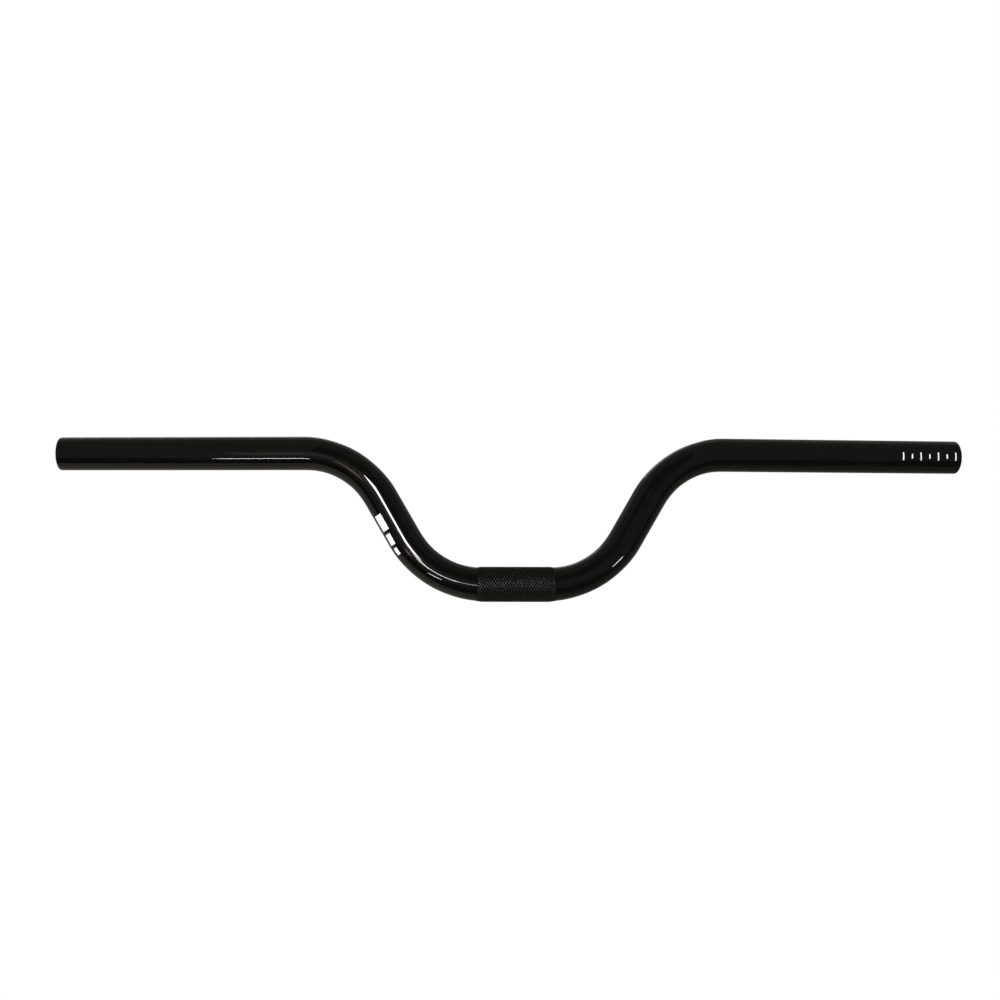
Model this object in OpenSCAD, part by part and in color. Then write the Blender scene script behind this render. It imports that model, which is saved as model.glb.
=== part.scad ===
// Low-rise handlebar for a small BMX race bike.
// One tube, bent four times, open at both ends, with a raised band in the middle for the stem.
// The stem axis lies along X through the origin, the risers climb along +Z and the grips sweep back to +Y.

/* [Tube] */
// Outside diameter of the tube
tube_d = 22.2; // [22:0.1:25.4]
// Thickness of the tube wall
wall = 2.4; // [2.2:0.1:3.2]

/* [Shape] */
// Overall width between the middles of the two ends
width = 609.6; // [560:0.1:760]
// Straight length of each riser, between its two bends
riser_l = 31; // [15:1:90]
// Angle of the risers from the stem axis
rise_angle = 60; // [45:1:75]
// Radius of all four bends, at the middle of the tube
bend_r = 60; // [45:1:80]
// Angle by which the grips sweep back
back_sweep = 10; // [0:0.5:15]
// Angle by which the grips sweep up
up_sweep = 1; // [0:0.5:4]

/* [Stem band] */
// Straight length in the middle that the stem clamps
clamp_l = 42; // [36:1:46]
// Length of the raised band, which runs a little into both bends
band_l = 51; // [48:1:60]
// Height of the band over the tube
band_h = 0.5; // [0.2:0.1:0.8]

/* [Ends] */
// Rounding of the outer edge of each end
rim_round = 1.6; // [0.4:0.1:1.7]
// Chamfer of the inner edge of each end
rim_chamfer = 0.4; // [0.2:0.1:0.5]

/* [Hidden] */
$fn = 96;

tube_r = tube_d / 2;
bore_r = tube_r - wall;
band_r = tube_r + band_h;
clamp_half = clamp_l / 2;

// Every straight runs this far into its bends, which are fuller by two thousandths of a millimetre,
// so that each joint closes on one clean edge
overlap = 0.2;
fuller = 0.002;

// The part of each lower bend that the band covers, as an angle
band_turn = (band_l - clamp_l) / 2 / bend_r * 180 / PI;
// The shoulder of the band falls at 45 degrees and dips this far under the tube's skin
dip = 0.1;
shoulder_turn = 2 * (band_h + dip) / bend_r * 180 / PI;

// Direction of a grip, seen along the riser, down across it and to the back
grip_along = cos(up_sweep) * cos(back_sweep) * cos(rise_angle) + sin(up_sweep) * sin(rise_angle);
grip_down = cos(up_sweep) * cos(back_sweep) * sin(rise_angle) - sin(up_sweep) * cos(rise_angle);
grip_back = cos(up_sweep) * sin(back_sweep);

// The upper bend turns from the riser into the grip in one tilted plane, to a ten-thousandth of a degree
upper_turn = round(acos(grip_along) * 10000) / 10000;
upper_tilt = atan2(grip_back, grip_down);

// What is left of half the width after the bends and the riser is the grip
lower_x = bend_r * sin(rise_angle);
riser_x = riser_l * cos(rise_angle);
upper_x = bend_r * sin(upper_turn) * cos(rise_angle)
    + bend_r * (1 - cos(upper_turn)) * cos(upper_tilt) * sin(rise_angle);
grip_l = (width / 2 - clamp_half - lower_x - riser_x - upper_x) / (cos(up_sweep) * cos(back_sweep));

// A straight rod along +X, between two places on that axis
module rod(from, to, r) {
    translate([from, 0, 0]) rotate([0, 90, 0]) cylinder(h = to - from, r = r);
}

// A bent rod that leaves the origin along +X and turns towards +Z, with its skin closed at one angle
// round the tube, which is that of the rods it meets
module bend(turn, r, closed_at = 0) {
    translate([0, 0, bend_r])
        rotate([90, 0, 0])
            rotate_extrude(angle = turn, start = -90)
                translate([bend_r, 0]) rotate(closed_at) circle(r);
}

// Carries its children round the middle of a bend to the end of it, with +X along the tube there.
// The turn is made in two steps, one to six decimal places and one for what these leave out.
module after_bend(turn) {
    first = atan2(round(sin(turn) * 1e6) / 1e6, round(cos(turn) * 1e6) / 1e6);
    translate([0, 0, bend_r])
        rotate([0, -turn, 0])
            rotate([0, first - turn, 0])
                translate([0, 0, -bend_r])
                    children();
}

// Carries its children to the start of the right lower bend
module at_lower_bend() {
    translate([clamp_half, 0, 0]) children();
}

// Carries its children to the start of the right riser, with +X along the riser
module at_riser() {
    at_lower_bend() after_bend(rise_angle) children();
}

// Carries its children to the start of the right upper bend, turned over into the plane of that bend
module at_upper_bend() {
    at_riser()
        translate([riser_l, 0, 0])
            rotate([180 + upper_tilt, 0, 0])
                children();
}

// Carries its children to the start of the right grip, turned back the right way up
module at_grip() {
    at_upper_bend()
        after_bend(upper_turn)
            rotate([-180 - upper_tilt, 0, 0])
                children();
}

// Lower bend, riser and upper bend of the right half, as one solid rod
module bent_rod(r) {
    at_lower_bend() bend(rise_angle, r + fuller);
    at_riser() rod(-overlap, riser_l + overlap, r);
    at_upper_bend() bend(upper_turn, r + fuller, 180 + upper_tilt);
}

// Half section of the last stretch of a grip, solid, with its outer corner rounded
module tip_section() {
    difference() {
        square([tube_r, rim_round]);
        translate([tube_r - rim_round, 0]) difference() {
            square(2 * rim_round);
            circle(rim_round);
        }
    }
}

// Outer form of the right grip
module grip_outside() {
    at_grip() {
        rod(-overlap, grip_l - rim_round, tube_r);
        translate([grip_l - rim_round, 0, 0])
            rotate([0, 90, 0])
                rotate_extrude() tip_section();
    }
}

// Bore of the right grip, with the chamfer at its mouth
module grip_bore() {
    at_grip() {
        rod(-overlap, grip_l + 1, bore_r);
        translate([grip_l - rim_chamfer, 0, 0])
            rotate([0, 90, 0])
                cylinder(h = 2 * rim_chamfer, r1 = bore_r, r2 = bore_r + 2 * rim_chamfer);
    }
}

// A wide cone round the whole band that cuts its right shoulder at 45 degrees
module shoulder_cone() {
    reach = 2 * band_l;
    at_lower_bend()
        after_bend(band_turn)
            translate([-reach, 0, 0])
                rotate([0, 90, 0])
                    cylinder(h = reach + band_h + dip, r1 = band_r + reach, r2 = tube_r - dip);
}

// Raised band over the straight middle and the starts of both lower bends
module band() {
    intersection() {
        union() {
            rod(-clamp_half, clamp_half, band_r);
            both_sides()
                at_lower_bend() bend(band_turn + shoulder_turn, band_r);
        }
        shoulder_cone();
        mirror([1, 0, 0]) shoulder_cone();
    }
}

// Children as they are and mirrored to the other side
module both_sides() {
    children();
    mirror([1, 0, 0]) children();
}

module handlebar() {
    color("#16150f") difference() {
        union() {
            band();
            both_sides() {
                bent_rod(tube_r);
                grip_outside();
            }
        }
        rod(-clamp_half, clamp_half, bore_r + fuller);
        both_sides() {
            bent_rod(bore_r);
            grip_bore();
        }
    }
}

handlebar();
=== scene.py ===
"""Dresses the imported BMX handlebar: one bent tube in gloss black paint, with a knurled band for the stem."""

import logging
import math
from dataclasses import dataclass, field
from enum import Enum, IntEnum

import bmesh
import bpy
from mathutils import Matrix, Vector


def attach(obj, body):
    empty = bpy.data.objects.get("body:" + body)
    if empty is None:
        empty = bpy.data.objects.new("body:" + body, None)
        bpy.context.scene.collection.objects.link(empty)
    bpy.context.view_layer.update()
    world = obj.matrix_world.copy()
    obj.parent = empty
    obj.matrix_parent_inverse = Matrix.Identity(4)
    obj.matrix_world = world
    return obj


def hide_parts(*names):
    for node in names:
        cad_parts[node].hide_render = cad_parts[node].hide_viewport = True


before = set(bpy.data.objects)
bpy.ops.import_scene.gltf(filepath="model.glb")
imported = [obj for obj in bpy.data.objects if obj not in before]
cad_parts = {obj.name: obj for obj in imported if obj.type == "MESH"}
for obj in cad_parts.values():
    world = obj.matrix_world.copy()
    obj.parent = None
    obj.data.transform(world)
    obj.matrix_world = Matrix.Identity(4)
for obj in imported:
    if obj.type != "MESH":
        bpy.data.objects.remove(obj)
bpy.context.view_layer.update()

logging.basicConfig(level=logging.INFO, format="%(message)s")
log = logging.getLogger("handlebar")

MM = 0.001
BODY = "root"

# Points closer than this are one point.
SAME_PLACE = 0.001 * MM

# A bevel of this profile is a quarter round.
ROUND_PROFILE = 0.5

# A grid of this half size is one unit wide.
GRID_HALF = 0.5

# The whole range of a height or a share.
WHOLE = (0.0, 1.0)

WHITE = "ffffff"

# Clear lacquer bends light like glass.
LACQUER_IOR = 1.5

# The Mix node names its sockets alike for every type of data, so those for colours go by index.
MIX_SHARE = 0
MIX_FIRST = 6
MIX_SECOND = 7
MIX_RESULT = 2

# The middle of the bar, which the lamps and cards stand round.
FOCUS = Vector((0.0, 15.0 * MM, 45.0 * MM))


class Slot(Enum):
    """The record's material slots."""

    PAINT = "gloss_black_paint"
    INK = "white_ink"


class Side(Enum):
    """A half of the bar, by the sign of its X."""

    LEFT = 1.0
    RIGHT = -1.0


class Finish(IntEnum):
    """The tube's materials, by their index on its mesh."""

    PAINT = 0
    KNURL = 1
    BORE = 2


def linear(code: str) -> tuple[float, float, float, float]:
    """Turns an sRGB hex colour into Blender's linear one, by the curve of the sRGB standard.

    Args:
        code: six hex digits, such as "1a1a18".

    Returns:
        Red, green, blue and an alpha of 1.
    """
    parts = [int(code[i : i + 2], 16) / 255 for i in (0, 2, 4)]
    return tuple(c / 12.92 if c <= 0.04045 else ((c + 0.055) / 1.055) ** 2.4 for c in parts) + (1.0,)


def eased(share: float) -> float:
    """Returns a share that starts and stops softly, held between 0 and 1."""
    held = max(0.0, min(1.0, share))
    return held * held * (3 - 2 * held)


def node(tree: bpy.types.NodeTree, kind: str, values: dict | None = None, links: dict | None = None,
         **settings: str) -> bpy.types.Node:
    """Adds one shader node.

    Args:
        tree: the node tree.
        kind: Blender's name for the node type.
        values: input socket name or index to the value that it keeps.
        links: input socket name or index to the output socket that feeds it.
        settings: attributes of the node itself.

    Returns:
        The new node.
    """
    made = tree.nodes.new(kind)
    for name, value in settings.items():
        setattr(made, name, value)
    for key, value in (values or {}).items():
        made.inputs[key].default_value = value
    for key, socket in (links or {}).items():
        tree.links.new(socket, made.inputs[key])
    return made


def object_place(tree: bpy.types.NodeTree) -> bpy.types.NodeSocket:
    """Returns the place on the object, in its own coordinates."""
    return node(tree, "ShaderNodeTexCoord").outputs["Object"]


def noise(tree: bpy.types.NodeTree, place: bpy.types.NodeSocket, pitch: float, detail: float,
          fineness: float = 0.5) -> bpy.types.NodeSocket:
    """Adds a noise.

    Args:
        tree: the node tree.
        place: the coordinates that it covers.
        pitch: the size of its grains.
        detail: how many finer layers it has.
        fineness: how strong the finer layers are.

    Returns:
        Its height, from 0 to 1.
    """
    values = {"Scale": 1 / pitch, "Detail": detail, "Roughness": fineness}
    return node(tree, "ShaderNodeTexNoise", values, {"Vector": place}).outputs["Fac"]


def ranged(tree: bpy.types.NodeTree, value: bpy.types.NodeSocket, source: tuple[float, float],
           target: tuple[float, float]) -> bpy.types.NodeSocket:
    """Stretches one range of a value over another. A value outside it counts as the nearer end.

    Args:
        tree: the node tree.
        value: the value.
        source: the range that it comes in.
        target: the range that it leaves in.

    Returns:
        The new value.
    """
    values = {"From Min": source[0], "From Max": source[1], "To Min": target[0], "To Max": target[1]}
    return node(tree, "ShaderNodeMapRange", values, {"Value": value}).outputs["Result"]


def blended(tree: bpy.types.NodeTree, share: bpy.types.NodeSocket, first: str,
            second: str) -> bpy.types.NodeSocket:
    """Adds a blend of two colours.

    Args:
        tree: the node tree.
        share: the share of the second colour.
        first: the first colour.
        second: the second colour.

    Returns:
        The blended colour.
    """
    values = {MIX_FIRST: linear(first), MIX_SECOND: linear(second)}
    return node(tree, "ShaderNodeMix", values, {MIX_SHARE: share}, data_type="RGBA").outputs[MIX_RESULT]


def relief(tree: bpy.types.NodeTree, height: bpy.types.NodeSocket, depth: float,
           strength: float = 1.0) -> bpy.types.NodeSocket:
    """Adds a fine relief.

    Args:
        tree: the node tree.
        height: the height, from 0 to 1.
        depth: what a height of 1 measures.
        strength: how much of it shows.

    Returns:
        The relief's normal.
    """
    values = {"Strength": strength, "Distance": depth}
    return node(tree, "ShaderNodeBump", values, {"Height": height}).outputs["Normal"]


def ray_share(tree: bpy.types.NodeTree, kinds: list[str]) -> bpy.types.NodeSocket:
    """Adds a switch for some kinds of ray.

    Args:
        tree: the node tree.
        kinds: the light path's names for the kinds.

    Returns:
        1 for a ray of these kinds and 0 for any other.
    """
    path = node(tree, "ShaderNodeLightPath")
    share = path.outputs[kinds[0]]
    for kind in kinds[1:]:
        either = node(tree, "ShaderNodeMath", {}, {0: share, 1: path.outputs[kind]}, operation="MAXIMUM")
        share = either.outputs["Value"]
    return share


def new_material(name: str) -> tuple[bpy.types.Material, bpy.types.NodeTree]:
    """Makes an empty material.

    Args:
        name: the material's name.

    Returns:
        The material and its node tree.
    """
    material = bpy.data.materials.new(name)
    material.use_nodes = True
    material.node_tree.nodes.clear()
    return material, material.node_tree


def surfaced(material: bpy.types.Material, surface: bpy.types.NodeSocket) -> bpy.types.Material:
    """Gives a material its surface, and returns it."""
    node(material.node_tree, "ShaderNodeOutputMaterial", {}, {"Surface": surface})
    return material


def finished(bm: bmesh.types.BMesh, name: str, materials: list[bpy.types.Material]) -> bpy.types.Object:
    """Turns a mesh in the making into an object at the origin.

    Args:
        bm: the mesh, which is used up.
        name: the object's name.
        materials: its materials, in the order of the faces' indices.

    Returns:
        The object, smooth shaded.
    """
    mesh = bpy.data.meshes.new(name)
    for f in bm.faces:
        f.smooth = True
    bm.to_mesh(mesh)
    bm.free()
    for material in materials:
        mesh.materials.append(material)
    piece = bpy.data.objects.new(name, mesh)
    bpy.context.scene.collection.objects.link(piece)
    return piece


@dataclass(frozen=True)
class GlossPaint:
    """Black wet paint under clear lacquer, sprayed and baked on aluminium.

    The eye gets near-black with sharp reflections that waver a little, from the orange peel of the spraying,
    and lighter edges where the surface is seen at a low angle.
    """

    name: str = "gloss_black_lacquered_paint"
    colour: str = "060604"
    dusty: str = "0c0c0a"
    roughness: tuple[float, float] = (0.20, 0.32)
    paint_ior: float = 1.45
    paint_gloss: float = 0.02
    lacquer: float = 1.0
    lacquer_roughness: float = 0.03
    peel_pitch: float = 3.0 * MM
    peel_depth: float = 0.003 * MM
    peel_detail: float = 1.5
    peel_fineness: float = 0.4
    cloud_pitch: float = 9.0 * MM
    cloud_detail: float = 5.0
    cloud_fineness: float = 0.65
    dust_range: tuple[float, float] = (0.45, 0.75)
    most_dust: float = 0.6
    rough_range: tuple[float, float] = (0.3, 0.8)

    def build(self) -> bpy.types.Material:
        """Makes the material, with its waves and dust on Object coordinates.

        Returns:
            The material.
        """
        material, tree = new_material(self.name)
        place = object_place(tree)
        peel = noise(tree, place, self.peel_pitch, self.peel_detail, self.peel_fineness)
        wave = relief(tree, peel, self.peel_depth)
        cloud = noise(tree, place, self.cloud_pitch, self.cloud_detail, self.cloud_fineness)
        dust = ranged(tree, cloud, self.dust_range, (0.0, self.most_dust))
        tone = blended(tree, dust, self.colour, self.dusty)
        rough = ranged(tree, cloud, self.rough_range, self.roughness)
        shader = node(tree, "ShaderNodeBsdfPrincipled",
                      {"Coat Weight": self.lacquer, "Coat Roughness": self.lacquer_roughness,
                       "Coat IOR": LACQUER_IOR, "IOR": self.paint_ior,
                       "Specular IOR Level": self.paint_gloss},
                      {"Base Color": tone, "Roughness": rough, "Coat Normal": wave, "Normal": wave})
        return surfaced(material, shader.outputs["BSDF"])


@dataclass(frozen=True)
class KnurlPaint:
    """The same paint over the rolled diamonds of the stem band.

    The paint runs off the crests and pools in the grooves, so the band looks matt, with a small light on each
    crest and deep black between them. The crests' colour is lighter, partly for that wear and partly as a
    painted sheen.
    """

    name: str = "black_paint_on_rolled_knurl"
    # Lighter than the grooves: partly wear, partly a painted sheen on the crests.
    crest: str = "11110b"
    groove: str = "0a0a05"
    roughness: float = 0.4
    paint_gloss: float = 0.05
    lacquer_roughness: float = 0.48
    lacquer_range: tuple[float, float] = (0.7, 1.0)
    lacquer: tuple[float, float] = (0.05, 1.0)
    grain_pitch: float = 0.35 * MM
    grain_detail: float = 2.0
    grain_depth: float = 0.004 * MM
    grain_strength: float = 0.5

    def build(self) -> bpy.types.Material:
        """Makes the material, shaded by the height that the mesh keeps in its attribute.

        Returns:
            The material.
        """
        material, tree = new_material(self.name)
        height = node(tree, "ShaderNodeAttribute", attribute_name=Knurl.HEIGHT).outputs["Fac"]
        grain = noise(tree, object_place(tree), self.grain_pitch, self.grain_detail)
        # Lighter towards the crests, partly for wear and partly as a painted sheen.
        tone = blended(tree, height, self.groove, self.crest)
        film = ranged(tree, height, self.lacquer_range, self.lacquer)
        bump = relief(tree, grain, self.grain_depth, self.grain_strength)
        shader = node(tree, "ShaderNodeBsdfPrincipled",
                      {"Roughness": self.roughness, "Specular IOR Level": self.paint_gloss,
                       "Coat IOR": LACQUER_IOR, "Coat Roughness": self.lacquer_roughness},
                      {"Base Color": tone, "Coat Weight": film, "Normal": bump, "Coat Normal": bump})
        return surfaced(material, shader.outputs["BSDF"])


@dataclass(frozen=True)
class DrawnBore:
    """The inside of the tube: drawn aluminium, dulled in the oven, with paint that drifted in at the mouth.

    The eye gets a dull grey metal with fine lines along the tube, which darkens to the paint near the end.
    """

    name: str = "drawn_aluminium_bore"
    metal: str = "8d8f91"
    drift: str = "141310"
    roughness: tuple[float, float] = (0.38, 0.6)
    line_pitch: float = 0.5 * MM
    line_squeeze: float = 0.03
    line_detail: float = 2.0
    line_depth: float = 0.01 * MM
    line_strength: float = 0.6
    drift_range: tuple[float, float] = (8.8 * MM, 28.6 * MM)
    speckle_pitch: float = 0.8 * MM
    speckle_detail: float = 3.0
    speckle_reach: float = 12.0 * MM

    def build(self) -> bpy.types.Material:
        """Makes the material, with its lines drawn out along X and its paint by depth in the bore.

        Returns:
            The material.
        """
        material, tree = new_material(self.name)
        place = object_place(tree)
        drawn = node(tree, "ShaderNodeMapping", {"Scale": (self.line_squeeze, 1.0, 1.0)}, {"Vector": place})
        lines = noise(tree, drawn.outputs["Vector"], self.line_pitch, self.line_detail)
        depth = node(tree, "ShaderNodeAttribute", attribute_name=BarSkin.DEPTH).outputs["Fac"]
        speckle = noise(tree, place, self.speckle_pitch, self.speckle_detail)
        ragged = node(tree, "ShaderNodeMath", {1: self.speckle_reach}, {0: speckle}, operation="MULTIPLY")
        reach = node(tree, "ShaderNodeMath", {}, {0: depth, 1: ragged.outputs["Value"]}, operation="ADD")
        bare = ranged(tree, reach.outputs["Value"], self.drift_range, WHOLE)
        tone = blended(tree, bare, self.drift, self.metal)
        rough = ranged(tree, lines, WHOLE, self.roughness)
        bump = relief(tree, lines, self.line_depth, self.line_strength)
        shader = node(tree, "ShaderNodeBsdfPrincipled", {},
                      {"Base Color": tone, "Metallic": bare, "Roughness": rough, "Normal": bump})
        return surfaced(material, shader.outputs["BSDF"])


@dataclass(frozen=True)
class PadInk:
    """White two-part ink, pad printed over the lacquer.

    The eye gets an even white with a soft sheen, a little thinner here and there.
    """

    name: str = "white_pad_printed_ink"
    colour: str = "f6f6f4"
    thin: str = "e9e9e7"
    roughness: float = 0.38
    ior: float = 1.5
    grain_pitch: float = 0.6 * MM
    grain_detail: float = 3.0
    grain_depth: float = 0.005 * MM
    grain_strength: float = 0.3

    def build(self) -> bpy.types.Material:
        """Makes the material, with the ink's unevenness on Object coordinates.

        Returns:
            The material.
        """
        material, tree = new_material(self.name)
        grain = noise(tree, object_place(tree), self.grain_pitch, self.grain_detail)
        tone = blended(tree, grain, self.thin, self.colour)
        bump = relief(tree, grain, self.grain_depth, self.grain_strength)
        shader = node(tree, "ShaderNodeBsdfPrincipled", {"Roughness": self.roughness, "IOR": self.ior},
                      {"Base Color": tone, "Normal": bump})
        return surfaced(material, shader.outputs["BSDF"])


@dataclass(frozen=True)
class Centreline:
    """The middle line of the bar, from the stem outwards, in metres and radians.

    A place on it is its distance from the middle of the bar, measured along the tube. Its frame has +X along
    the tube, and +Z to the inside of the lower bend.

    flat and spread are how much thinner and wider the mandrel leaves the tube in the middle of a bend, and
    shoulder is the share of a bend, from each end, over which they come in.
    """

    clamp_half: float = 21.0 * MM
    bend_r: float = 60.0 * MM
    rise: float = math.radians(60.0)
    riser: float = 31.0 * MM
    back_sweep: float = math.radians(10.0)
    up_sweep: float = math.radians(1.0)
    half_width: float = 304.8 * MM
    flat: float = 0.035
    spread: float = 0.018
    shoulder: float = 0.35

    def upper(self) -> tuple[float, float]:
        """Works out the upper bend.

        Returns:
            Its turn, and the tilt of its plane from the plane of the lower bend.
        """
        up, back, rise = self.up_sweep, self.back_sweep, self.rise
        along = math.cos(up) * math.cos(back) * math.cos(rise) + math.sin(up) * math.sin(rise)
        down = math.cos(up) * math.cos(back) * math.sin(rise) - math.sin(up) * math.cos(rise)
        return math.acos(along), math.atan2(math.cos(up) * math.sin(back), down)

    def stops(self) -> tuple[float, float, float, float, float]:
        """Works out where the stretches of the tube begin.

        Returns:
            The places of the lower bend, the riser, the upper bend, the grip and the bar's end.
        """
        turn, tilt = self.upper()
        lower_x = self.bend_r * math.sin(self.rise)
        riser_x = self.riser * math.cos(self.rise)
        upper_x = self.bend_r * (math.sin(turn) * math.cos(self.rise)
                                 + (1 - math.cos(turn)) * math.cos(tilt) * math.sin(self.rise))
        reach = self.half_width - self.clamp_half - lower_x - riser_x - upper_x
        grip = reach / (math.cos(self.up_sweep) * math.cos(self.back_sweep))
        lower = self.clamp_half
        riser = lower + self.bend_r * self.rise
        top = riser + self.riser
        seat = top + self.bend_r * turn
        return lower, riser, top, seat, seat + grip

    def round_bend(self, turn: float) -> Matrix:
        """Returns the move along a bend of this turn, in the bend's own frame."""
        out = Matrix.Translation((0, 0, self.bend_r))
        return out @ Matrix.Rotation(-turn, 4, "Y") @ out.inverted()

    def frame(self, s: float) -> Matrix:
        """Gives the frame of the tube at a place on the left half.

        Args:
            s: distance from the middle of the bar along the tube.

        Returns:
            The frame as a matrix, with the tube's middle as its origin.
        """
        lower, riser, top, seat, _ = self.stops()
        tilt = self.upper()[1]
        place = Matrix.Translation((min(s, lower), 0, 0))
        if s > lower:
            place = place @ self.round_bend((min(s, riser) - lower) / self.bend_r)
        if s > riser:
            place = place @ Matrix.Translation((min(s, top) - riser, 0, 0))
        if s > top:
            over = Matrix.Rotation(math.pi + tilt, 4, "X")
            place = place @ over @ self.round_bend((min(s, seat) - top) / self.bend_r) @ over.inverted()
        if s > seat:
            place = place @ Matrix.Translation((s - seat, 0, 0))
        return place

    def squash(self, s: float) -> Matrix:
        """Gives how the mandrel has flattened the tube there: thinner in the bend's plane, wider across.

        Args:
            s: distance from the middle of the bar along the tube.

        Returns:
            A scale in the frame of that place.
        """
        lower, riser, top, seat, _ = self.stops()
        if lower < s < riser:
            part, tilt = (s - lower) / (riser - lower), 0.0
        elif top < s < seat:
            part, tilt = (s - top) / (seat - top), self.upper()[1]
        else:
            return Matrix.Identity(4)
        amount = eased(min(part, 1 - part) / self.shoulder)
        turn = Matrix.Rotation(tilt, 4, "X")
        scale = Matrix.Diagonal((1, 1 + self.spread * amount, 1 - self.flat * amount, 1))
        return turn @ scale @ turn.inverted()

    def point(self, s: float, angle: float, radius: float, side: Side = Side.LEFT) -> Vector:
        """Gives a point on or over the tube's skin.

        Args:
            s: distance from the middle of the bar along the tube.
            angle: angle round the tube from its underside, positive to the back.
            radius: distance from the tube's middle.
            side: the half of the bar.

        Returns:
            The point.
        """
        ring = Vector((0, radius * math.sin(angle), -radius * math.cos(angle)))
        place = self.frame(abs(s)) @ self.squash(abs(s)) @ ring
        if s < 0 or side is Side.RIGHT:
            place.x = -place.x
        return place


@dataclass(frozen=True)
class TubeSizes:
    """Sizes of the tube, its band and its ends, and how finely they are drawn."""

    tube_r: float = 11.1 * MM
    bore_r: float = 8.7 * MM
    band_half: float = 25.5 * MM
    crest_r: float = 11.58 * MM
    root_r: float = 11.1 * MM
    rim_round: float = 1.6 * MM
    rim_chamfer: float = 0.4 * MM
    sides: int = 112
    bend_step: float = 2.6 * MM
    straight_step: float = 10.5 * MM
    round_steps: int = 7
    chamfer_steps: int = 2
    crease: float = math.radians(32)


class Ring:
    """A ring of edges that draws a round skin behind it as it moves along the bar."""

    def __init__(self, bm: bmesh.types.BMesh, line: Centreline, s: float, radius: float, sides: int) -> None:
        """Starts the ring.

        Args:
            bm: the mesh that gets the skin.
            line: the bar's centreline.
            s: distance of the first ring from the middle of the bar.
            radius: radius of the first ring.
            sides: number of edges round the tube.
        """
        self.bm, self.line = bm, line
        self.verts = bmesh.ops.create_circle(bm, cap_ends=False, radius=1.0, segments=sides)["verts"]
        fresh = set(self.verts)
        self.edges = [e for e in bm.edges if fresh.issuperset(e.verts)]
        self.shape = Matrix.Identity(4)
        self.place(s, radius, Matrix.Rotation(math.pi / 2, 4, "Y"))

    def place(self, s: float, radius: float, first: Matrix | None = None) -> None:
        """Puts the ring at a place on the bar.

        Args:
            s: distance from the middle of the bar along the tube.
            radius: the ring's radius there.
            first: the turn that stands a new ring across the tube.
        """
        target = self.line.frame(s) @ self.line.squash(s) @ Matrix.Scale(radius, 4)
        step = target @ first if first else target @ self.shape.inverted()
        bmesh.ops.transform(self.bm, matrix=step, verts=self.verts)
        self.shape = target

    def draw(self, s: float, radius: float) -> list[bmesh.types.BMFace]:
        """Extrudes the ring to the next place.

        Args:
            s: distance of the new ring from the middle of the bar.
            radius: radius of the new ring.

        Returns:
            The new faces.
        """
        old = set(self.edges)
        made = bmesh.ops.extrude_edge_only(self.bm, edges=self.edges)["geom"]
        self.verts = [g for g in made if isinstance(g, bmesh.types.BMVert)]
        fresh = set(self.verts)
        self.edges = [g for g in made if isinstance(g, bmesh.types.BMEdge) and fresh.issuperset(g.verts)]
        self.place(s, radius)
        return list({f for e in self.edges for f in e.link_faces if not old.isdisjoint(f.edges)})


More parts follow.
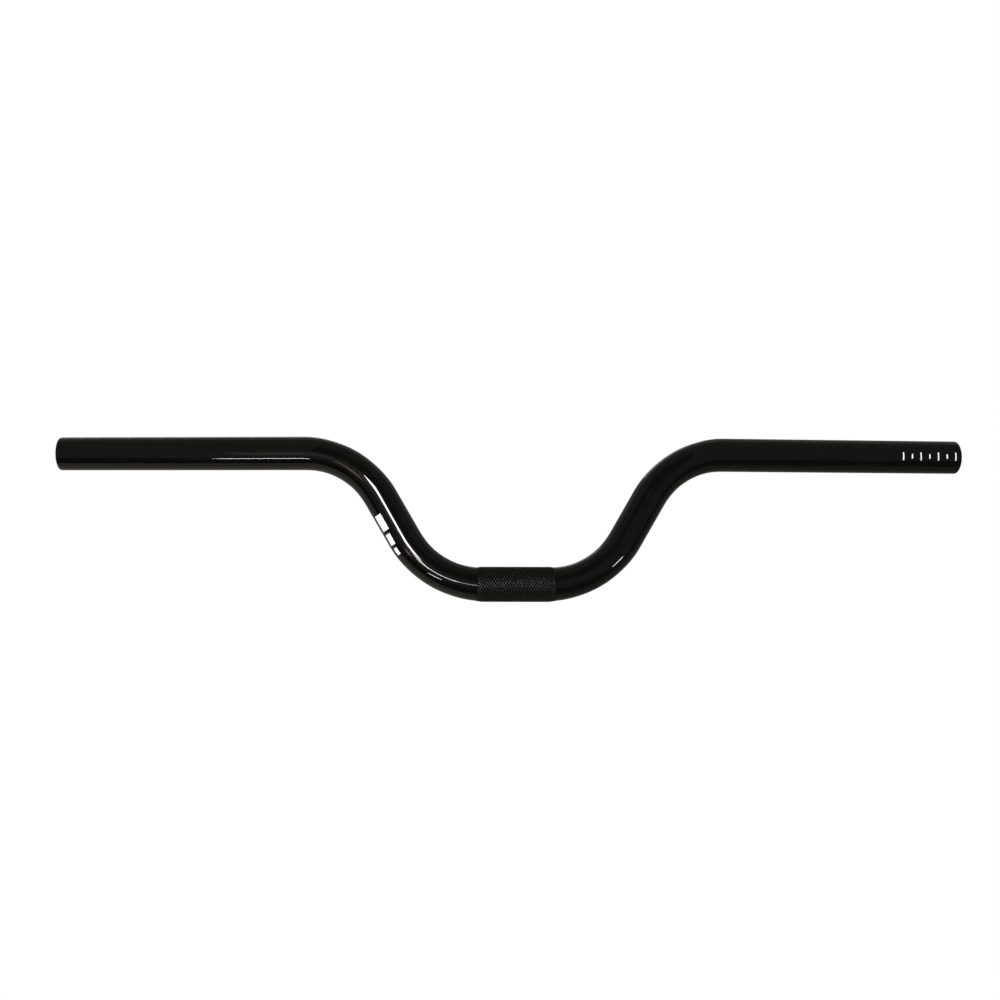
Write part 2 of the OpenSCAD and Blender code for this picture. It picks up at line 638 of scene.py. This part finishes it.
@dataclass
class Knurl:
    """The rolled knurl of the stem band, as true diamonds that stand over the tube.

    Each step of the crown is its width and its height. run_out is the length over which the knurl fades at
    each end, to end_height of its full height.
    """

    HEIGHT = "knurl_height"

    line: Centreline
    sizes: TubeSizes
    along: int = 26
    around: int = 28
    flank: float = 0.34 * MM
    crown: tuple[tuple[float, float], ...] = ((0.18 * MM, 0.035 * MM), (0.12 * MM, 0.008 * MM))
    run_out: float = 3.5 * MM
    end_height: float = 0.3

    def build(self, finish: Finish) -> bpy.types.Mesh:
        """Makes the band, open at both ends.

        Args:
            finish: the finish that the band takes.

        Returns:
            The band's mesh.
        """
        bm = bmesh.new()
        height = bm.verts.layers.float.new(self.HEIGHT)
        self.lattice(bm)
        diamonds = bm.faces[:]
        rise = self.sizes.crest_r - self.sizes.root_r - sum(step for _, step in self.crown)
        bmesh.ops.inset_individual(bm, faces=diamonds, thickness=self.flank, depth=rise, use_even_offset=True)
        flanks = set(bm.faces) - set(diamonds)
        for width, step in self.crown:
            bmesh.ops.inset_individual(bm, faces=diamonds, thickness=width, depth=step, use_even_offset=True)
        for e in bm.edges:
            e.smooth = flanks.isdisjoint(e.link_faces)
        for f in set(bm.faces) - flanks:
            for v in f.verts:
                v[height] = 1.0
        self.settle(bm)
        for f in bm.faces:
            f.material_index = finish
        band = bpy.data.meshes.new("knurl_band")
        bm.to_mesh(band)
        bm.free()
        return band

    def lattice(self, bm: bmesh.types.BMesh) -> None:
        """Lays a lattice of flat diamonds round the tube, with half diamonds at both ends.

        Args:
            bm: the band's mesh.
        """
        grid = bmesh.ops.create_grid(bm, x_segments=self.along, y_segments=self.around, size=GRID_HALF)
        corners = set(grid["verts"])
        bmesh.ops.poke(bm, faces=bm.faces[:])
        for e in bm.edges:
            at_end = e.is_boundary and abs(e.verts[0].co.x - e.verts[1].co.x) < SAME_PLACE
            e.seam = corners.issuperset(e.verts) and not at_end
        ends = [e for e in bm.edges if e.is_boundary and not e.seam]
        bmesh.ops.subdivide_edges(bm, edges=ends, cuts=self.sizes.sides // self.around - 1)
        for v in bm.verts:
            s, turn = v.co.x * 2 * self.sizes.band_half, (v.co.y + GRID_HALF) * 2 * math.pi
            v.co = self.line.point(s, turn, self.sizes.root_r)
        bmesh.ops.remove_doubles(bm, verts=bm.verts[:], dist=SAME_PLACE)
        bmesh.ops.dissolve_edges(bm, edges=[e for e in bm.edges if e.seam], use_verts=False)
        bmesh.ops.recalc_face_normals(bm, faces=bm.faces[:])
        middle = bm.faces[0].calc_center_median()
        if bm.faces[0].normal.dot(Vector((0, middle.y, middle.z))) < 0:
            bmesh.ops.reverse_faces(bm, faces=bm.faces[:])

    def settle(self, bm: bmesh.types.BMesh) -> None:
        """Levels the crests to one height, and lets the knurl run out towards its ends.

        Args:
            bm: the band's mesh.
        """
        base, tip = self.sizes.root_r, self.sizes.crest_r
        for v in bm.verts:
            middle = self.line.point(v.co.x, 0.0, 0.0)
            middle.x = v.co.x
            out = v.co - middle
            inside = (self.sizes.band_half - abs(v.co.x)) / self.run_out
            fade = self.end_height + (1 - self.end_height) * eased(inside)
            radius = base + (min(out.length, tip) - base) * fade
            v.co = middle + out.normalized() * radius


@dataclass
class BarSkin:
    """The whole tube: outer skin, rounded rims, bore and knurled band, as one closed mesh."""

    DEPTH = "bore_depth"

    line: Centreline = field(default_factory=Centreline)
    sizes: TubeSizes = field(default_factory=TubeSizes)

    def stations(self, start: float) -> list[float]:
        """Gives the places of the rings from a start to the end of the bar.

        Args:
            start: distance of the first ring from the middle of the bar.

        Returns:
            Distances along the tube, close together in the bends.
        """
        lower, riser, top, seat, end = self.line.stops()
        bent, straight = self.sizes.bend_step, self.sizes.straight_step
        places = [start]
        for stop, step in ((lower, straight), (riser, bent), (top, straight), (seat, bent), (end, straight)):
            if stop > places[-1]:
                length = stop - places[-1]
                count = max(1, round(length / step))
                places += [places[-1] + length * (i + 1) / count for i in range(count)]
        return places

    def half(self, bm: bmesh.types.BMesh) -> None:
        """Draws the left half from the band outwards, round the rim and back through the bore.

        Args:
            bm: the mesh.
        """
        sizes = self.sizes
        end = self.line.stops()[-1]
        ring = Ring(bm, self.line, sizes.band_half, sizes.tube_r, sizes.sides)
        for s in self.stations(sizes.band_half)[1:]:
            ring.draw(s, sizes.tube_r)
        outer_rim = list(ring.edges)
        ring.draw(end, sizes.bore_r)
        inner_rim = list(ring.edges)
        for s in reversed(self.stations(0.0)[:-1]):
            for f in ring.draw(s, sizes.bore_r):
                f.material_index = Finish.BORE
        for rim, width, steps in ((outer_rim, sizes.rim_round, sizes.round_steps),
                                  (inner_rim, sizes.rim_chamfer, sizes.chamfer_steps)):
            bmesh.ops.bevel(bm, geom=rim, offset=width, segments=steps, profile=ROUND_PROFILE, affect="EDGES",
                            material=-1)

    def build(self) -> bpy.types.Object:
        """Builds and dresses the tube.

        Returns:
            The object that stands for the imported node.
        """
        band = Knurl(self.line, self.sizes).build(Finish.KNURL)
        bm = bmesh.new()
        bm.verts.layers.float.new(self.DEPTH)
        self.half(bm)
        bmesh.ops.mirror(bm, geom=bm.verts[:] + bm.edges[:] + bm.faces[:], matrix=Matrix.Identity(4),
                         merge_dist=SAME_PLACE, axis="X")
        bm.from_mesh(band)
        bpy.data.meshes.remove(band)
        bmesh.ops.remove_doubles(bm, verts=bm.verts[:], dist=2 * SAME_PLACE)
        bmesh.ops.recalc_face_normals(bm, faces=bm.faces[:])
        for e in bm.edges:
            on_band = any(f.material_index == Finish.KNURL for f in e.link_faces)
            if not on_band and e.calc_face_angle(0.0) > self.sizes.crease:
                e.smooth = False
        self.measure_depth(bm)
        materials = [GlossPaint().build(), KnurlPaint().build(), DrawnBore().build()]
        piece = finished(bm, "handlebar_tube", materials)
        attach(piece, BODY)
        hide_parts("handlebar")
        return piece

    def measure_depth(self, bm: bmesh.types.BMesh) -> None:
        """Writes each point's distance from the nearer mouth of the bore, for the bore's material.

        Args:
            bm: the mesh.
        """
        depth = bm.verts.layers.float[self.DEPTH]
        mouth = self.line.point(self.line.stops()[-1], 0.0, 0.0)
        for v in bm.verts:
            nearer = Vector((math.copysign(mouth.x, v.co.x), mouth.y, mouth.z))
            v[depth] = (v.co - nearer).length


@dataclass(frozen=True)
class InkPatch:
    """A rectangle of ink on the tube's skin.

    start and end are distances along the tube, low and high angles round it from its underside.
    """

    start: float
    end: float
    low: float
    high: float


@dataclass
class PrintedMarks:
    """White marks printed on the skin, as thin raised patches of ink."""

    name: str
    patches: list[InkPatch]
    side: Side
    line: Centreline = field(default_factory=Centreline)
    skin_r: float = 11.1 * MM
    ink: float = 0.035 * MM
    step: float = 0.9 * MM
    crease: float = math.radians(40)

    def build(self, material: bpy.types.Material) -> bpy.types.Object:
        """Lays the patches on the tube.

        Args:
            material: the ink.

        Returns:
            One object that holds all the patches.
        """
        bm = bmesh.new()
        for patch in self.patches:
            self.lay(bm, patch)
        bmesh.ops.recalc_face_normals(bm, faces=bm.faces[:])
        piece = finished(bm, self.name, [material])
        piece.data.set_sharp_from_angle(angle=self.crease)
        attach(piece, BODY)
        return piece

    def lay(self, bm: bmesh.types.BMesh, patch: InkPatch) -> None:
        """Lays one patch, with its underside sunk in the skin.

        Args:
            bm: the mesh of all the patches.
            patch: the patch.
        """
        before = set(bm.verts)
        long = max(1, math.ceil((patch.end - patch.start) / (2 * self.step)))
        wide = max(1, math.ceil((patch.high - patch.low) * self.skin_r / self.step))
        grid = bmesh.ops.create_grid(bm, x_segments=long, y_segments=wide, size=GRID_HALF)["verts"]
        sheet = list({f for v in grid for f in v.link_faces})
        raised = bmesh.ops.extrude_face_region(bm, geom=sheet, use_keep_orig=True)["geom"]
        top = {g for g in raised if isinstance(g, bmesh.types.BMVert)}
        for v in [v for v in bm.verts if v not in before]:
            s = patch.start + (v.co.x + GRID_HALF) * (patch.end - patch.start)
            angle = patch.low + (v.co.y + GRID_HALF) * (patch.high - patch.low)
            radius = self.skin_r + (self.ink if v in top else -self.ink)
            v.co = self.line.point(s, angle, radius, self.side)


@dataclass(frozen=True)
class Graduations:
    """Lines near the left end, a quarter inch apart, which show where to saw the bar shorter.

    facing is the angle of their middles round the tube. Every second line is a short one.
    """

    count: int = 7
    pitch: float = 6.35 * MM
    first: float = 5.0 * MM
    thick: float = 0.9 * MM
    facing: float = math.radians(-80)
    long_half: float = math.radians(14)
    short_half: float = math.radians(8)

    def patches(self, line: Centreline) -> list[InkPatch]:
        """Lays out the lines.

        Args:
            line: the bar's centreline.

        Returns:
            A patch for each line, from the end inwards.
        """
        end = line.stops()[-1]
        patches = []
        for i in range(self.count):
            half = self.short_half if i % 2 else self.long_half
            at = end - self.first - i * self.pitch
            patches.append(InkPatch(at - self.thick / 2, at + self.thick / 2, self.facing - half,
                                    self.facing + half))
        return patches


@dataclass(frozen=True)
class RiserBars:
    """Three plain bars down the underside of the right riser, each shorter than the one above.

    Each row has a bar's start and end in millimetres, and its edges in degrees round the tube.
    """

    rows: tuple[tuple[float, float, float, float], ...] = (
        (94.0, 105.5, -57, -25),
        (83.5, 91.5, -50, -25),
        (77.0, 81.5, -44, -27),
    )

    def patches(self) -> list[InkPatch]:
        """Returns a patch for each bar."""
        return [InkPatch(start * MM, end * MM, math.radians(low), math.radians(high))
                for start, end, low, high in self.rows]


def towards(azimuth: float, elevation: float, distance: float) -> Vector:
    """Gives a place round the bar.

    Args:
        azimuth: degrees round the bar from straight in front, positive to the rider's left.
        elevation: degrees above the horizon.
        distance: distance from the bar's middle.

    Returns:
        The place.
    """
    a, e = math.radians(azimuth), math.radians(elevation)
    way = Vector((math.sin(a) * math.cos(e), -math.cos(a) * math.cos(e), math.sin(e)))
    return FOCUS + distance * way


@dataclass(frozen=True)
class Viewpoint:
    """Where the photograph was taken from, a little below the stem and looking up."""

    distance: float = 1.371984
    yaw: float = math.radians(2.6516)
    pitch: float = math.radians(-6.4009)
    roll: float = math.radians(0.1009)
    target: tuple[float, float, float] = (-10.127 * MM, 0.0, 55.856 * MM)
    sensor: float = 36.0
    lens_per_sensor: float = 2.075328
    far: float = 100.0

    def build(self) -> None:
        """Sets the camera there."""
        yaw, pitch, roll = self.yaw, self.pitch, self.roll
        ahead = Vector((math.sin(yaw) * math.cos(pitch), math.cos(yaw) * math.cos(pitch), -math.sin(pitch)))
        level = Vector((math.cos(yaw), -math.sin(yaw), 0.0))
        below = ahead.cross(level)
        right = math.cos(roll) * level + math.sin(roll) * below
        down = -math.sin(roll) * level + math.cos(roll) * below
        turn = Matrix((right, -down, -ahead)).transposed()
        data = bpy.data.cameras.new("camera")
        data.sensor_width = self.sensor
        data.lens = self.sensor * self.lens_per_sensor
        data.clip_end = self.far
        camera = bpy.data.objects.new("camera", data)
        place = Vector(self.target) - ahead * self.distance
        camera.matrix_world = Matrix.Translation(place) @ turn.to_4x4()
        bpy.context.scene.collection.objects.link(camera)
        bpy.context.scene.camera = camera


@dataclass(frozen=True)
class Lamp:
    """A soft rectangular lamp that faces the bar, with its place and angles in degrees, as in towards.

    radiance is the brightness of its surface, where 1 is a white wall in this light. roll is its turn about
    its own axis. spread is the angle that its hood leaves open, and a lamp with no hood has 180.
    """

    name: str
    azimuth: float
    elevation: float
    size: tuple[float, float]
    radiance: float
    distance: float = 2.0
    colour: str = WHITE
    roll: float = 0.0
    spread: float = 180.0

    def build(self) -> None:
        """Hangs the lamp. A hood narrows its light without dimming the middle of its face."""
        wide, high = self.size
        cone = math.radians(self.spread) / 2
        data = bpy.data.lights.new(self.name, "AREA")
        data.shape = "RECTANGLE"
        data.size = wide
        data.size_y = high
        data.spread = 2 * cone
        data.energy = self.radiance * math.pi * wide * high * (1 - cone / math.tan(cone))
        data.color = linear(self.colour)[:3]
        lamp = bpy.data.objects.new(self.name, data)
        place = towards(self.azimuth, self.elevation, self.distance)
        turn = (FOCUS - place).to_track_quat("-Z", "Y").to_matrix().to_4x4()
        roll = Matrix.Rotation(math.radians(self.roll), 4, "Z")
        lamp.matrix_world = Matrix.Translation(place) @ turn @ roll
        lamp.visible_camera = False
        bpy.context.scene.collection.objects.link(lamp)


@dataclass(frozen=True)
class Card:
    """A bent card, a part of a wide cylinder along the bar.

    It starts and stops at these degrees above the horizon in front of the bar, counted over the top and down
    behind. left and right are its brightness on the camera's left and right, where 1 is white.
    """

    name: str
    start: float
    stop: float
    left: float
    right: float
    colour: str = WHITE


@dataclass(frozen=True)
class Screen:
    """A dark screen close in front of the bar, like those round a photographer's camera.

    Its edges are in degrees, as in towards.
    """

    name: str
    azimuths: tuple[float, float]
    elevations: tuple[float, float]


@dataclass
class Surround:
    """The cards and screens that only the gloss paint's reflections see.

    A card's brightness changes from left to right within graded_half of the middle. facet is the turn of one
    flat strip of a card, in degrees. The gables are a little wider than the cards, so that no gap shows.
    """

    radius: float = 3.4
    half: float = 9.0
    graded_half: float = 1.4
    facet: float = 4.0
    fewest_facets: int = 4
    gable_level: float = 0.16
    gable_sides: int = 64
    gable_overlap: float = 1.02
    screen_level: float = 0.04
    screen_distance: float = 0.6
    cards: tuple[Card, ...] = (
        Card("dark_room", start=-38, stop=104, left=0.125, right=0.112, colour="fffff2"),
        Card("backdrop", start=104, stop=206, left=0.23, right=0.19, colour="fbfcfc"),
        Card("pale_floor_sweep", start=206, stop=279, left=0.31, right=0.125, colour="fff5e1"),
        Card("dark_table_edge", start=279, stop=322, left=0.015, right=0.03),
    )
    screens: tuple[Screen, ...] = (
        Screen("screen_over_camera", azimuths=(-34, -2), elevations=(15.5, 54)),
        Screen("screen_beside_camera", azimuths=(-2, 26), elevations=(5, 54)),
    )

    def build(self) -> None:
        """Hangs the cards, closes their ends and stands the screens."""
        for card in self.cards:
            self.bend(card)
        self.gables()
        for screen in self.screens:
            self.stand(screen)

    def bend(self, card: Card) -> None:
        """Hangs one card.

        Args:
            card: the card.
        """
        bm = bmesh.new()
        start, turn = math.radians(card.start), card.stop - card.start
        edge = Vector((-self.half, -self.radius * math.cos(start), self.radius * math.sin(start)))
        near = bm.verts.new(FOCUS + edge)
        far = bm.verts.new(near.co + Vector((2 * self.half, 0, 0)))
        strips = max(self.fewest_facets, round(turn / self.facet))
        bmesh.ops.spin(bm, geom=[near, far, bm.edges.new((near, far))], cent=FOCUS, axis=(1, 0, 0),
                       angle=-math.radians(turn), steps=strips)
        self.mirrored(bm, card.name, card.left, card.right, card.colour)

    def gables(self) -> None:
        """Closes both ends of the cards."""
        bm = bmesh.new()
        upright = Matrix.Rotation(math.pi / 2, 4, "Y")
        for end in (-self.half, self.half):
            place = Matrix.Translation(FOCUS + Vector((end, 0, 0))) @ upright
            bmesh.ops.create_circle(bm, cap_ends=True, radius=self.gable_overlap * self.radius,
                                    segments=self.gable_sides, matrix=place)
        self.mirrored(bm, "gables", self.gable_level, self.gable_level)

    def stand(self, screen: Screen) -> None:
        """Stands one screen.

        Args:
            screen: the screen.
        """
        bm = bmesh.new()
        (left, right), (low, high) = screen.azimuths, screen.elevations
        corners = ((left, low), (right, low), (right, high), (left, high))
        bm.faces.new([bm.verts.new(towards(a, e, self.screen_distance)) for a, e in corners])
        self.mirrored(bm, screen.name, self.screen_level, self.screen_level)

    def mirrored(self, bm: bmesh.types.BMesh, name: str, left: float, right: float,
                 colour: str = WHITE) -> None:
        """Turns a mesh into glowing card that only reflections see.

        Args:
            bm: the mesh, which is used up.
            name: the object's name.
            left: brightness on the camera's left, where 1 is white.
            right: brightness on the camera's right.
            colour: its colour.
        """
        material, tree = new_material(name)
        across = node(tree, "ShaderNodeSeparateXYZ", {}, {"Vector": object_place(tree)})
        graded = (-self.graded_half, self.graded_half)
        tone = ranged(tree, across.outputs["X"], graded, (left, right))
        glow = node(tree, "ShaderNodeEmission", {"Color": linear(colour)}, {"Strength": tone})
        piece = finished(bm, name, [surfaced(material, glow.outputs["Emission"])])
        for kind in ("camera", "diffuse", "shadow", "transmission", "volume_scatter"):
            setattr(piece, f"visible_{kind}", False)


@dataclass
class Studio:
    """Floor, background, camera, lamps and surround.

    soft_light is the brightness of the background where it lights the bar. The camera and the reflections see
    it, and the floor, as white.
    """

    floor_z: float = -3.7
    floor_reach: float = 40.0
    floor_colour: str = "e8e8e6"
    soft_light: float = 0.85
    viewpoint: Viewpoint = field(default_factory=Viewpoint)
    surround: Surround = field(default_factory=Surround)
    lamps: tuple[Lamp, ...] = (
        Lamp("key_strip", -9.4, 3.0, size=(0.20, 0.62), radiance=32, roll=-28),
        Lamp("key_strip_foot", -17.4, -12.5, size=(0.19, 0.38), radiance=14, roll=-23),
        Lamp("low_key", -10.7, -15.8, size=(0.43, 0.10), radiance=24),
        Lamp("low_key_end", -2.0, -14.5, size=(0.24, 0.12), radiance=8),
        Lamp("low_strip", -31.1, -38.3, size=(0.34, 0.06), radiance=34),
        Lamp("rear_strip", 190, 36, size=(1.3, 0.12), radiance=3, distance=2.6),
        Lamp("right_clip", 53, -27.7, size=(0.03, 0.055), radiance=28, distance=0.42, roll=-23, spread=26),
        Lamp("warm_wall", -23, -8, size=(0.5, 0.8), radiance=0.3, distance=2.2, colour="ffdec5"),
        Lamp("warm_clip", -46.3, -4.0, size=(0.010, 0.014), radiance=6, distance=0.281, colour="ffd2a0"),
        Lamp("red_clip", -45.4, -20.0, size=(0.022, 0.018), radiance=5, distance=0.27, colour="ffc4b8"),
    )

    def world(self) -> None:
        """Makes a white background that gives soft light all round."""
        world = bpy.data.worlds.new("studio")
        world.use_nodes = True
        tree = world.node_tree
        tree.nodes.clear()
        seen = ray_share(tree, ["Is Camera Ray", "Is Glossy Ray", "Is Transmission Ray"])
        level = ranged(tree, seen, WHOLE, (self.soft_light, 1.0))
        sky = node(tree, "ShaderNodeBackground", {"Color": linear(WHITE)}, {"Strength": level})
        out = node(tree, "ShaderNodeOutputWorld", {}, {"Surface": sky.outputs["Background"]})
        out.is_active_output = True
        bpy.context.scene.world = world

    def floor(self) -> None:
        """Lays the plain pale floor, far below the bar, white to the camera as in the photograph."""
        material, tree = new_material("white_floor")
        seen = ray_share(tree, ["Is Camera Ray", "Is Glossy Ray"])
        lit = node(tree, "ShaderNodeBsdfDiffuse", {"Color": linear(self.floor_colour)})
        white = node(tree, "ShaderNodeEmission", {"Color": linear(WHITE), "Strength": 1.0})
        links = {0: seen, 1: lit.outputs["BSDF"], 2: white.outputs["Emission"]}
        mix = node(tree, "ShaderNodeMixShader", {}, links)
        surfaced(material, mix.outputs["Shader"])
        bm = bmesh.new()
        bmesh.ops.create_grid(bm, x_segments=2, y_segments=2, size=self.floor_reach,
                              matrix=Matrix.Translation((0, 0, self.floor_z)))
        finished(bm, "floor", [material])

    def build(self) -> None:
        """Sets the whole studio."""
        bpy.context.scene.view_settings.view_transform = "Standard"
        self.viewpoint.build()
        self.world()
        self.floor()
        self.surround.build()
        for lamp in self.lamps:
            lamp.build()
        log.info("studio: %d cards, %d screens and %d lamps", len(self.surround.cards),
                 len(self.surround.screens), len(self.lamps))


def main() -> None:
    """Builds the handlebar and the studio, and reports each piece."""
    Studio().build()
    line = Centreline()
    ink = PadInk().build()
    pieces = [
        BarSkin(line).build(),
        PrintedMarks("trim_marks", Graduations().patches(line), Side.LEFT, line).build(ink),
        PrintedMarks("riser_bars", RiserBars().patches(), Side.RIGHT, line).build(ink),
    ]
    for piece in pieces:
        log.info("%s: %d faces", piece.name, len(piece.data.polygons))


if __name__ == "__main__":
    main()
